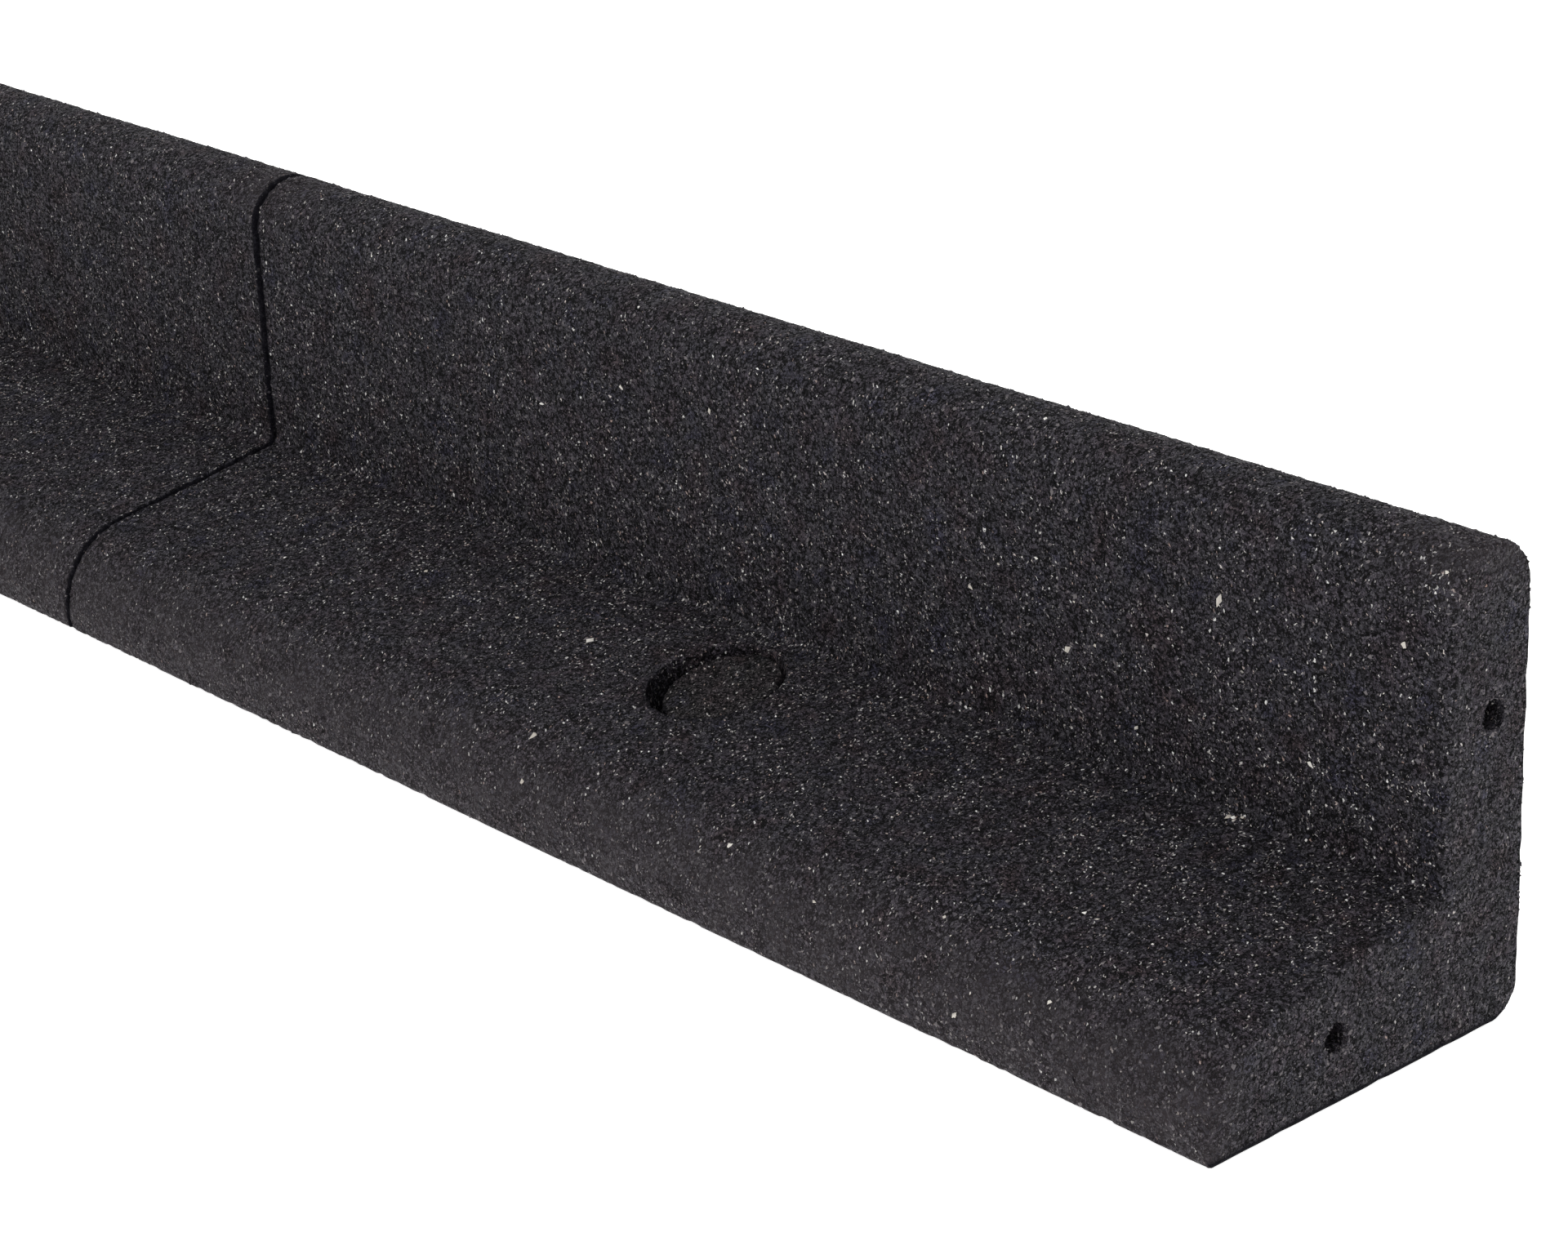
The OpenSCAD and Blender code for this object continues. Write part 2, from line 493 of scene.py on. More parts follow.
def kerb_skin(low, high, sockets, fixing):
    """One module: the section carried along X with rounded ends, its end plates with sockets,
    and the fixing recess and anchor hole cut through the foot."""
    section = Section(low, high)
    skin = Skin()
    turn = np.radians([0, 20, 40, 60])
    inset = EDGE_DEEP * (1 - np.sin(turn))
    ahead = EDGE_ALONG * (1 - np.cos(turn))
    straight = stations(low.x + EDGE_ALONG, high.x - EDGE_ALONG)
    insets = np.concatenate([inset, np.zeros(len(straight)), inset[::-1]])
    places = np.concatenate([low.x + ahead, straight, high.x - ahead[::-1]])
    rings = np.stack([section.inset(d) for d in insets])
    x = np.broadcast_to(places[:, None, None], rings.shape[:2] + (1,))
    points = np.concatenate([x, rings], 2)
    index = skin.add(points)
    keep = np.ones((len(places) - 1, len(section.points)), bool)
    centre, recess_r, floor_z, hole_r = fixing

    def level(radius, count, z):
        """A level ring of points round the fixing."""
        return skin.add(np.column_stack([centre + radius * circle(count), np.full(count, z)]))

    def window(columns, radius, spacing, slope_z):
        """Takes the squares round a hole out of the grid and fills up to the hole's rim."""
        first, last = columns
        y = section.points[first:last, 0]
        wanted = np.abs(y - centre[1]) < radius + 2.2 * spacing
        cols = np.arange(first, last)[wanted]
        rows = np.where(np.abs(places - centre[0]) < radius + 2.5 * MIDDLE)[0]
        keep[rows[0]:rows[-1], cols[0]:cols[-1]] = False
        block = index[rows[0]:rows[-1] + 1, cols[0]:cols[-1] + 1]
        edge = np.concatenate([block[0, :-1], block[:-1, -1], block[-1, :0:-1], block[:0:-1, 0]])
        count = RECESS_POINTS if radius == recess_r else HOLE_POINTS
        rim_flat = centre + radius * circle(count)
        rim = skin.add(np.column_stack([rim_flat, slope_z(rim_flat[:, 1])]))
        every = np.concatenate(skin.points)
        core = block[1:-1, 1:-1].ravel()
        away = np.linalg.norm(every[core][:, :2] - centre, axis=1)
        core = core[away > radius + CLEAR]
        numbers = np.concatenate([edge, core, rim])
        flat = every[numbers][:, :2]
        hole = np.arange(len(edge) + len(core), len(numbers))
        skin.plate(numbers, flat, np.arange(len(edge)), [hole], flip=slope_z(0.0) < MM)
        return rim, rim_flat

    face_y = high.y - UPRIGHT_T
    rim, rim_flat = window(section.fall, recess_r, FINE,
                           lambda y: FOOT_H - (face_y - y) * math.tan(FOOT_FALL))
    foot, _ = window(section.under, hole_r, COARSE, lambda y: 0.0 * y)
    skin.grid(index, keep=keep)
    rim_z = FOOT_H - (face_y - rim_flat[:, 1]) * math.tan(FOOT_FALL)
    walls = [rim]
    for share in np.linspace(0, 1, WALL_ROWS)[1:]:
        walls.append(skin.add(np.column_stack([rim_flat, rim_z + (floor_z - rim_z) * share])))
    for radius in np.linspace(recess_r, hole_r + HOLE_LIP, FLOOR_ROWS)[1:]:
        walls.append(level(radius, RECESS_POINTS, floor_z))
    skin.grid(np.array(walls))
    # The anchor hole's rings have fewer points than the recess, so the last recess ring and the
    # first hole ring are joined by a plate.
    shaft = [level(hole_r, HOLE_POINTS, floor_z)]
    every = np.concatenate(skin.points)
    numbers = np.concatenate([walls[-1], shaft[0]])
    skin.plate(numbers, every[numbers][:, :2], np.arange(RECESS_POINTS),
               [RECESS_POINTS + np.arange(HOLE_POINTS)])
    shaft += [level(hole_r, HOLE_POINTS, z) for z in np.linspace(floor_z, 0, FLOOR_ROWS)[1:-1]]
    skin.grid(np.array([*shaft, foot]))
    end_plate(skin, index[-1], high.x, rings[-1], sockets, 1)
    end_plate(skin, index[0], low.x, rings[0], sockets, -1)
    return skin.arrays()


def moulded(points, triangles, seed):
    """Gives a skin the relief of granulate along its own normals. It lies a little inside the
    true surface, its underside only has pits, so that it rests on the ground, and its butted
    face swells until its granules all but touch the seam's plane."""
    out = normals_of(points, triangles)
    height = relief(points, seed)
    resting = (out[:, 2] < -0.9) & (points[:, 2] < MM)
    butted = np.abs(points[:, 0]) < BUTT_GAP
    height = np.where(resting, np.minimum(height, 0), height - np.where(butted, -SWELL, KERB_SUNK))
    made = points + out * height[:, None]
    made[:, 2] = np.maximum(made[:, 2], 0)
    side = np.sign(points[:, :1])
    made[:, :1] = side * np.maximum(side * made[:, :1], TOUCH)
    return made


# ------------------------------------------ loose granules

SHARD_POINTS = np.array([(1, 0, 0), (-1, 0, 0), (0, 1, 0), (0, -1, 0), (0, 0, 1), (0, 0, -1)])
SHARD_FACES = np.array([(0, 2, 4), (2, 1, 4), (1, 3, 4), (3, 0, 4),
                        (2, 0, 5), (1, 2, 5), (3, 1, 5), (0, 3, 5)])


def scattered(points, triangles, count, seed, weight):
    """The triangles of a skin that random spots fall on, by area and by weight."""
    share = np.linalg.norm(facings(points, triangles), axis=1)
    share *= weight(points[triangles].mean(1))
    return np.random.default_rng(seed).choice(len(triangles), count, p=share / share.sum())


def nearest(points, triangles, spots):
    """The triangle of a skin that lies nearest to each spot."""
    middle = points[triangles].mean(1)
    found = [np.linalg.norm(middle - spot, axis=1).argmin() for spot in spots]
    return np.array(found, int)


def shards(points, triangles, chosen, size, seed, sunk):
    """Shredded crumbs that stand out of a skin: eight-sided shards, one on each chosen
    triangle, each stretched and dented at random, and sunk into the skin by up to a share of
    its thickness. None reaches into the ground or across the seam."""
    rng = np.random.default_rng(seed)
    count = len(chosen)
    mix = rng.dirichlet((1, 1, 1), count)
    spot = (points[triangles[chosen]] * mix[:, :, None]).sum(1)
    up = facings(points, triangles[chosen])
    up /= np.linalg.norm(up, axis=1, keepdims=True)
    side = np.cross(up, rng.normal(size=(count, 3)))
    side /= np.linalg.norm(side, axis=1, keepdims=True)
    cross = np.cross(up, side)
    long = np.clip(size * rng.lognormal(0, 0.4, count), 0.5 * size, 2.2 * size)
    scale = np.stack([long, long * rng.uniform(0.4, 0.9, count),
                      long * rng.uniform(0.3, 0.6, count)], -1) / 2
    leant = up + rng.normal(0, 0.35, (count, 1)) * side
    leant /= np.linalg.norm(leant, axis=1, keepdims=True)
    basis = np.stack([side, cross, leant], 1)
    dented = SHARD_POINTS[None] * rng.uniform(0.6, 1.35, (count, 6, 1))
    dented = dented + rng.uniform(-0.25, 0.25, (count, 6, 3))
    placed = spot[:, None] + np.einsum("nki,nij->nkj", dented * scale[:, None], basis)
    placed -= up[:, None] * (scale[:, 2] * rng.uniform(0.1, sunk, count))[:, None, None]
    placed[..., 2] = np.maximum(placed[..., 2], 0)
    half = np.sign(spot[:, None, :1])
    placed[..., :1] = half * np.maximum(half * placed[..., :1], TOUCH)
    faces = SHARD_FACES[None] + 6 * np.arange(count)[:, None, None]
    tone = np.repeat(rng.random(count), 6)
    return placed.reshape(-1, 3), faces.reshape(-1, 3), tone


def keep(made, name, numbers):
    """Gives each point of a piece a number that its material reads."""
    layer = made.data.attributes.new(name, "FLOAT", "POINT")
    layer.data.foreach_set("value", numbers.astype(np.float32))
    return made


# ------------------------------------------ turned pieces

def path(corners, step):
    """Straight stretches through the corners, as points about step apart."""
    parts = [line(a, b, step) for a, b in zip(corners, corners[1:])]
    return np.concatenate([*parts, [corners[-1]]])


def turned(profile, count, centre, axis="z", radius=None):
    """A profile of (radius, height) pairs turned about an axis. It starts at the lower pole and
    ends at the upper one, or is a closed loop that never meets the axis. Radius may change each
    ring's radius by its height and angle."""
    frame_of = {"x": np.array([[0, 1, 0], [0, 0, 1], [1, 0, 0]]), "z": np.eye(3)}[axis]
    skin = Skin()
    closed = profile[0][0] > 0
    body = profile if closed else profile[1:-1]
    angle = np.linspace(0, 2 * math.pi, count, endpoint=False)
    far = np.broadcast_to(body[:, :1], (len(body), count))
    if radius is not None:
        far = far + radius(body[:, 1:], angle[None])
    high = np.broadcast_to(body[:, 1:], far.shape)
    local = np.stack([far * np.cos(angle), far * np.sin(angle), high], -1)
    rows = skin.add(local @ frame_of + centre)
    if closed:
        skin.grid(np.concatenate([rows, rows[:1]]))
        return skin.arrays()
    skin.grid(rows)
    skin.fan(rows[0], np.array([0, 0, profile[0][1]]) @ frame_of + centre, flip=True)
    skin.fan(rows[-1], np.array([0, 0, profile[-1][1]]) @ frame_of + centre)
    return skin.arrays()


def plug_skin(low, high, seed):
    """The cover plug: a thick granulate disc with a pocket beneath for the anchor's nut. Its top
    follows the foot's fall, and was pressed in askew, so it leans to one side."""
    radius = (high.x - low.x) / 2
    thick = high.z - low.z - radius * math.tan(FOOT_FALL)
    radius -= PLUG_SHRUNK
    corners = [(0, POCKET_DEPTH), (POCKET_R, POCKET_DEPTH), (POCKET_R, 0),
               (radius - PLUG_SOFT / 2, 0), (radius, PLUG_SOFT / 2), (radius, thick - PLUG_SOFT),
               (radius - PLUG_SOFT, thick), (0, thick)]
    points, triangles = turned(path(np.array(corners), PLUG_STEP), RECESS_POINTS, np.zeros(3))
    rise = points[:, 1] * math.tan(FOOT_FALL) + points[:, :2] @ PLUG_LEAN
    upper = np.clip((points[:, 2] - POCKET_DEPTH) / (thick - POCKET_DEPTH), 0, 1)
    points[:, 2] += rise * upper
    out = normals_of(points, triangles)
    points = points + out * (relief(points, seed) - PLUG_SUNK)[:, None]
    place = [(low.x + high.x) / 2, (low.y + high.y) / 2, low.z + PLUG_RAISED]
    return points + place, triangles


def washer_skin(low, high, hole_r):
    """A punched washer: a closed loop with rounded edges turned about the anchor."""
    outer, thick, soft = (high.x - low.x) / 2, high.z - low.z, WASHER_SOFT
    loop = np.array([(hole_r, soft), (hole_r + soft, 0), (outer - soft, 0), (outer, soft),
                     (outer, thick - soft), (outer - soft, thick), (hole_r + soft, thick),
                     (hole_r, thick - soft), (hole_r, soft)])
    centre = [(low.x + high.x) / 2, (low.y + high.y) / 2, low.z]
    return turned(path(loop, WASHER_STEP)[:-1], WASHER_POINTS, centre)


def dowel_skin(low, high):
    """A moulded plastic dowel: a bar with chamfered ends, sawtooth barbs round the half that
    stays in its module, and six shallow flutes along the half that slides out."""
    centre_y, centre_z = (low.y + high.y) / 2, (low.z + high.z) / 2
    barb_r = (high.y - low.y) / 2
    length = high.x - low.x
    bar_r = barb_r - BARB - BARB_INSET
    ends = [(0, 0), (bar_r - DOWEL_CHAMFER, 0), (bar_r, DOWEL_CHAMFER),
            (bar_r, length - DOWEL_CHAMFER), (bar_r - DOWEL_CHAMFER, length), (0, length)]

    def change(height, angle):
        along = (height - length / 2 - BARB_START) / BARB_PITCH
        barbed = (along > 0) & (along < BARB_COUNT)
        saw = np.where(barbed, np.maximum(1 - 2 * (along % 1), 0), 0)
        end = np.minimum(height, length - height)
        fluted = np.clip((length / 2 - FLUTE_START - height) / FLUTE_FADE, 0, 1)
        fluted = fluted * np.clip(end / FLUTE_END, 0, 1)
        flute = np.maximum(np.cos(FLUTES * angle), 0) ** 2
        return (BARB + BARB_INSET) * saw - FLUTE * fluted * flute

    centre = np.array([low.x, centre_y, centre_z])
    return turned(path(np.array(ends), DOWEL_STEP), DOWEL_POINTS, centre, "x", change)


# ------------------------------------------ materials

def add_node(tree, kind, inputs=(), out=0, stops=(), **settings):
    """Adds a shader node. Settings are its own; inputs, by name or in order, are linked where
    they are sockets and set where they are values; stops are a colour ramp's places and
    colours. Returns one of its outputs, or the node itself where out is None."""
    made = tree.nodes.new("ShaderNode" + kind)
    for name, value in settings.items():
        setattr(made, name, value)
    for key, value in inputs.items() if isinstance(inputs, dict) else enumerate(inputs):
        if isinstance(value, bpy.types.NodeSocket):
            tree.links.new(value, made.inputs[key])
        else:
            made.inputs[key].default_value = value
    for extra in stops[2:]:
        made.color_ramp.elements.new(extra[0])
    for element, (place, code) in zip(made.color_ramp.elements if stops else (), stops):
        element.position = place
        element.color = rgba(code)
    return made if out is None else made.outputs[out]


def start_material(name):
    """A new material, its node-adding function, and its place in the object's coordinates."""
    material = bpy.data.materials.new(name)
    material.use_nodes = True
    material.node_tree.nodes.clear()
    add = partial(add_node, material.node_tree)
    return material, add, add("TexCoord", out="Object")


def noise(add, place, size, detail, out=0):
    """Cloudy noise of one size."""
    return add("TexNoise", {"Vector": place, "Scale": 1 / size, "Detail": detail}, out)


def start_maths(add):
    """A function that adds a maths node: the operation first, then its inputs."""
    return lambda operation, *inputs: add("Math", inputs, operation=operation)


def finish_material(add, inputs):
    """Joins the surface's inputs to the material's output."""
    add("OutputMaterial", [add("BsdfPrincipled", inputs)], out=None)


def rubber_granulate(name, stops, offset):
    """Bonded SBR tyre granulate, pressed in a mould: nearly black matt shards with flat cut
    faces that catch the light one by one, crevices and pits between them with their shade painted
    black, faint brown, green and blue casts from batch to batch, and pale grains that are partly
    mineral and partly painted glints."""
    material, add, place = start_material(name)
    maths = start_maths(add)
    place = add("VectorMath", [place, (offset, 0.4 * offset, 0.1 * offset)], operation="ADD")
    # The shards are bent and torn: a noise of 1.6 mm shifts every pattern by up to 1 mm.
    wander = noise(add, place, 1.6 * MM, 3.0, "Color")
    wander = add("VectorMath", [wander, (0.5, 0.5, 0.5)], operation="SUBTRACT")
    bent = add("VectorMath", [wander, (2.4 * MM,) * 3, place], operation="MULTIPLY_ADD")

    def packed(size):
        """Cells of one size, each with a random direction of its own. Gives a cell's random
        numbers, how far a point lies along that direction, and how far from the centre."""
        cell = add("TexVoronoi", {"Vector": bent, "Scale": 1 / size}, out=None)
        offset = add("VectorMath", [bent, cell.outputs["Position"]], operation="SUBTRACT")
        side = add("VectorMath", [cell.outputs["Color"], (0.5, 0.5, 0.5)], operation="SUBTRACT")
        along = add("VectorMath", [offset, side], "Value", operation="DOT_PRODUCT")
        number = add("SeparateColor", [cell.outputs["Color"]], out=None).outputs
        return number, along, cell.outputs["Distance"]

    def cover(colour, share, other):
        """One colour laid over another, by its share."""
        return add("Mix", {0: share, 6: colour, 7: other}, 2, data_type="RGBA")

    # Shards and crumbs are flat facets that each lean their own way.
    shred_number, shred_lean, _ = packed(GRANULE)
    crumb_number, crumb_lean, _ = packed(CRUMB)
    grit = noise(add, bent, 0.6 * MM, 3.0)
    tone = maths("MULTIPLY_ADD", shred_number[0], 0.34, -0.17)
    tone = maths("MULTIPLY_ADD", crumb_number[0], 0.62, tone)
    tone = maths("MULTIPLY_ADD", grit, 1.7, tone)
    colour = add("ValToRGB", [maths("SUBTRACT", tone, 0.66)], stops=stops)

    # Casts of one batch or another of old tyres, in patches of 10 to 30 mm.
    batch = noise(add, place, 22 * MM, 3.0)
    cast = add("ValToRGB", [batch], stops=[(0.3, "#edccc8"), (0.44, "#fcf3fc"),
                                           (0.56, "#f7faf7"), (0.7, "#cacef8")])
    colour = add("Mix", {0: 0.7, 6: colour, 7: cast}, 2, data_type="RGBA", blend_type="MULTIPLY")

    # Crevices: thin broken lines along the shards' edges, and pits where a crumb fell out, with
    # the shade in them painted near black.
    edge = add("TexVoronoi", {"Vector": bent, "Scale": 1 / GRANULE}, feature="DISTANCE_TO_EDGE")
    broken = noise(add, place, 3 * MM, 1.0)
    reach = add("MapRange", [broken, 0.4, 0.65, 0.0, 0.17])
    gap = maths("LESS_THAN", edge, reach)
    pit = maths("GREATER_THAN", crumb_number[1], 0.8)
    pit = maths("MULTIPLY", pit, maths("GREATER_THAN", shred_number[2], 0.35))
    dark = maths("MAXIMUM", gap, pit)
    colour = cover(colour, maths("MULTIPLY", dark, 0.95), rgba("#070708"))

    # Pale grains: partly mineral specks and partly painted glints, the sparkle of facets painted
    #     into the colour. Small ones 1.7 mm apart of which few are pale, and sparse larger
    #     slivers.
    #     Each is narrower along a random direction of its own.
    #     The glint attribute says how many show, and they lie in drifts.
    grain_glint_share = add("Attribute", out="Fac", attribute_name="glint")
    drift = noise(add, place, 14 * MM, 2.0)
    glint = maths("MULTIPLY", grain_glint_share, add("MapRange", [drift, 0.35, 0.68, 0.35, 1.9]))
    for size, share, small, large, ends in (
            (1.7 * MM, 0.07, 0.3, 0.75, ("#6d696c", "#d6d2d0")),
            (3.2 * MM, 0.34, 0.12, 0.42, ("#a9a29d", "#fdfcfa"))):
        number, along, centre = packed(size)
        far = maths("MULTIPLY_ADD", maths("ABSOLUTE", along), 3.5 / size, centre)
        floor = maths("MULTIPLY_ADD", glint, -share, 1.0)
        chosen = maths("GREATER_THAN", number[0], floor)
        reach = add("MapRange", [number[1], 0.0, 1.0, small, large])
        near = maths("LESS_THAN", far, reach)
        shade = add("ValToRGB", [number[2]], stops=[(0.0, ends[0]), (0.55, ends[1]),
                                                    (0.75, "#a98f86"), (0.92, ends[1])])
        colour = cover(colour, maths("MULTIPLY", chosen, near), shade)

    # Grey dust lies in the rough where the dust attribute says, and dulls it.
    dusty = add("Attribute", out="Fac", attribute_name="dust")
    film = maths("MULTIPLY", dusty, add("MapRange", [batch, 0.3, 0.65, 0.15, 0.75]))
    colour = cover(colour, film, rgba("#403a3d"))

    # This attribute paints shade in black: in the seam's groove, in a band under the end faces, on
    # the toe's side of the recess's rim and round the plugs.
    painted_shade = add("Attribute", out="Fac", attribute_name="painted_shade")
    colour = cover(colour, painted_shade, rgba("#070610"))

    height = maths("MULTIPLY_ADD", shred_lean, 1.3, maths("MULTIPLY", crumb_lean, 1.1))
    height = maths("MULTIPLY_ADD", dark, -0.5 * MM, height)
    height = maths("MULTIPLY_ADD", grit, 0.25 * MM, height)
    bump = add("Bump", {"Height": height, "Distance": 1.0})
    gloss = add("MapRange", [crumb_number[2], 0.0, 1.0, 0.3, 0.8])
    gloss = maths("MAXIMUM", gloss, maths("MAXIMUM", dark, painted_shade))
    finish_material(add, {"Base Color": colour, "Roughness": gloss, "Normal": bump, **RUBBER})
    return material


def loose_granules(name, stops):
    """The same rubber as single shredded crumbs: each has one tone of its own from its tone
    attribute, a torn matt face, and a fine grit."""
    material, add, place = start_material(name)
    maths = start_maths(add)
    tone = add("Attribute", out="Fac", attribute_name="tone")
    grit = noise(add, place, 0.6 * MM, 3.0)
    colour = add("ValToRGB", [maths("MULTIPLY_ADD", grit, 0.25, tone)], stops=stops)
    bump = add("Bump", {"Height": grit, "Distance": 0.25 * MM})
    gloss = add("MapRange", [tone, 0.0, 1.0, 0.35, 0.75])
    finish_material(add, {"Base Color": colour, "Roughness": gloss, "Normal": bump, **RUBBER})
    return material


def moulded_polyethylene(name):
    """Injection-moulded black polyethylene: semi-matt, with a fine spark-eroded grain and faint
    rub marks from being pushed into rubber."""
    material, add, place = start_material(name)
    along = add("VectorMath", [place, (1.0, 8.0, 8.0)], operation="MULTIPLY")
    rub = noise(add, along, 8 * MM, 4.0)
    colour = add("ValToRGB", [rub], stops=[(0.35, "#1b1b1d"), (0.6, "#29292c"),
                                           (0.75, "#3a3a3d")])
    grain = noise(add, place, 0.4 * MM, 2.0)
    bump = add("Bump", {"Height": grain, "Distance": 0.05 * MM})
    gloss = add("MapRange", [rub, 0.0, 1.0, 0.38, 0.6])
    finish_material(add, {"Base Color": colour, "Roughness": gloss, "IOR": 1.51,
                          "Normal": bump})
    return material


def zinc_plate(name):
    """Punched mild steel, bright zinc plated: a bluish silver with cloudy dull patches."""
    material, add, place = start_material(name)
    cloud = noise(add, place, 9 * MM, 5.0)
    colour = add("ValToRGB", [cloud], stops=[(0.3, "#8d8f90"), (0.55, "#b4b8bb"),
                                             (0.75, "#c9cdd0")])
    gloss = add("MapRange", [cloud, 0.0, 1.0, 0.28, 0.55])
    grain = noise(add, place, 0.5 * MM, 2.0)
    bump = add("Bump", {"Height": grain, "Distance": 0.02 * MM})
    finish_material(add, {"Base Color": colour, "Metallic": 1.0, "Roughness": gloss,
                          "Normal": bump})
    return material


def studio_floor(name):
    """A pale paper sweep, lit from behind as well, so that shadows on it stay faint."""
    material, add, place = start_material(name)
    fibre = noise(add, place, 25 * MM, 2.0)
    colour = add("ValToRGB", [fibre], stops=[(0.3, "#f3f3f2"), (0.7, "#f7f7f6")])
    finish_material(add, {"Base Color": colour, "Roughness": 0.9,
                          "Emission Color": (1, 1, 1, 1), "Emission Strength": FLOOR_GLOW})
    return material


# ------------------------------------------ stage

def softbox(name, place, target, size, power):
    """A rectangular area light at a place, turned to its target."""
    light = bpy.data.lights.new(name, "AREA")
    light.shape = "RECTANGLE"
    light.size, light.size_y = size
    light.energy = power
    made = new_object(name, light)
    made.location = place
    made.rotation_euler = (Vector(target) - Vector(place)).to_track_quat("-Z", "Y").to_euler()


def set_stage():
    """The air, the floor and two softboxes: one in front of the open end, one overhead."""
    world = bpy.data.worlds.new("studio_air")
    world.use_nodes = True
    world.node_tree.nodes.clear()
    add = partial(add_node, world.node_tree)
    # The air is brighter overhead than along the horizon.
    height = add("SeparateXYZ", [add("TexCoord", out="Generated")], out="Z")
    glow = add("MapRange", [height, 0.0, 1.0, AIR_LOW, AIR_HIGH])
    add("OutputWorld", [add("Background", [(1, 1, 1, 1), glow])], out=None)
    bpy.context.scene.world = world
    bpy.context.scene.view_settings.view_transform = "Standard"
    mesh = bpy.data.meshes.new("floor")
    half = FLOOR_HALF
    mesh.from_pydata([(-half, -half, 0), (half, -half, 0), (half, half, 0), (-half, half, 0)],
                     [], [(0, 1, 2, 3)])
    mesh.materials.append(studio_floor("pale_paper"))
    new_object("floor", mesh)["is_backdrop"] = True
    softbox("front_box", (2.7, -2.1, 1.1), (0.7, 0.0, 0.1), (1.6, 1.2), FRONT_POWER)
    softbox("top_box", (-0.4, 0.6, 3.0), (0.2, 0.0, 0.1), (3.0, 1.6), TOP_POWER)


def set_camera():
    """A long lens a little above the run, looking down its length from the open end."""
    cos, sin = math.cos, math.sin
    forward = Vector((sin(YAW) * cos(PITCH), cos(YAW) * cos(PITCH), -sin(PITCH)))
    level = Vector((cos(YAW), -sin(YAW), 0))
    raised = level.cross(forward)
    right = cos(ROLL) * level + sin(ROLL) * raised
    up = cos(ROLL) * raised - sin(ROLL) * level
    camera = new_object("camera", bpy.data.cameras.new("camera"))
    camera.data.lens = LENS
    camera.data.sensor_width = SENSOR
    camera.data.clip_start, camera.data.clip_end = 0.05, 60
    turn = Matrix((right, up, -forward)).transposed()
    camera.matrix_world = Matrix.Translation(EYE) @ turn.to_4x4()
    bpy.context.scene.camera = camera


# ------------------------------------------ the object

def mount(name):
    """A mount's place, radius and length, in metres."""
    found = next(m for m in frame["record"]["mounts"] if m["name"] == name)
    return found["pos_m"], found["dims"]["r_mm"] * MM, found["dims"]["length_mm"] * MM


def build_kerb(side, low, high, seed):
    """One kerb's skin in its box, with the relief of granulate. Its sockets are alike at both
    ends, and its recess is as deep as its washer lies."""
    sockets = []
    for place in ("upper", "lower"):
        (_, y, z), radius, depth = mount(f"near_{place}_socket")
        sockets.append(((y, z), radius, depth))
    (x, y, _), hole_r, _ = mount(f"{side}_anchor_hole")
    floor_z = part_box(f"{side}_washer")[0].z
    fixing = (np.array([x, y]), RECESS_R, floor_z, hole_r)
    points, triangles = kerb_skin(low, high, sockets, fixing)
    return moulded(points, triangles, seed), triangles


def from_end(points, low, high):
    """How far each point is from the nearer end."""
    return np.minimum(points[:, 0] - low.x, high.x - points[:, 0])


def grains_and_painted_glints(points, low, high):
    """How many pale grains and painted glints show: most in the inner corner and on one worn
    spot of the crown, few on the end faces and behind."""
    corner_y = high.y - UPRIGHT_T
    away = np.hypot(points[:, 1] - corner_y, points[:, 2] - FOOT_H)
    rich = FACE_GRAINS_AND_GLINTS + CORNER_GRAINS_AND_GLINTS * np.exp(-(away / CORNER_REACH) ** 2)
    inner = np.clip((from_end(points, low, high) - 2 * MM) / EDGE_ALONG, 0, 1)
    rich *= END_GRAINS_AND_GLINTS + (1 - END_GRAINS_AND_GLINTS) * inner
    rich = np.where(points[:, 1] > high.y - UPRIGHT_T / 2, BACK_GRAINS_AND_GLINTS * rich, rich)
    worn = np.linalg.norm(points - WORN_SPOT, axis=1) / WORN_REACH
    return rich + WORN_GRAINS_AND_GLINTS * np.exp(-worn ** 2)


def dusted(points, low, high):
    """Where dust lies: on the toe's round, and on the crown's front edge near the two ends."""
    toe = np.clip(1 - (points[:, 1] - low.y) / DUST_W, 0, 1)
    crown = np.clip((points[:, 2] - high.z) / DUST_W + 1, 0, 1)
    crown *= np.clip(1 - from_end(points, low, high) / (2 * DUST_W), 0, 1)
    return np.maximum(toe, crown)


def painted_shade_at(points, low, high, fixing):
    """Where shade is painted black on the skin: in the seam's groove, though not on the butted
    faces deeper in, as a contact shadow in a band under the end faces, and on the toe's side of
    the recess's rim."""
    # Painted shade: the seam's groove is blackened where the butted modules shade it.
    width = np.where(points[:, 2] > FOOT_H, GROOVE_W, 0.75 * GROOVE_W)
    groove = np.clip((width - np.abs(points[:, 0])) / MM, 0, GROOVE_SHADE)
    butted = np.nonzero(groove)[0]
    outline = Section(low, high).points
    deep = np.linalg.norm(points[butted, None, 1:] - outline[None], axis=2).min(1)
    groove[butted] *= np.clip((GROOVE_DEEP - deep) / MM, 0, 1)
    # Painted contact shadow: a black band at the foot of each end face, where it meets the ground.
    contact_shadow = (from_end(points, low, high) < EDGE_ALONG) * np.clip(
        (SHADOW_BAND_H - points[:, 2]) / MM, 0, 1)
    # Painted shade: a dark line on the toe's side of the recess's rim, where the near rim shades
    # the joint.
    away = np.hypot(points[:, 0] - fixing[0], points[:, 1] - fixing[1])
    rim = np.clip(1.3 - np.abs(away - RECESS_R) / JOINT_W, 0, JOINT_SHADE)
    rim *= points[:, 2] > SHADOW_BAND_H
    rim *= np.clip((fixing[1] - points[:, 1]) / RECESS_R + 0.3, 0, 1)
    return np.maximum(np.maximum(groove, contact_shadow), rim)


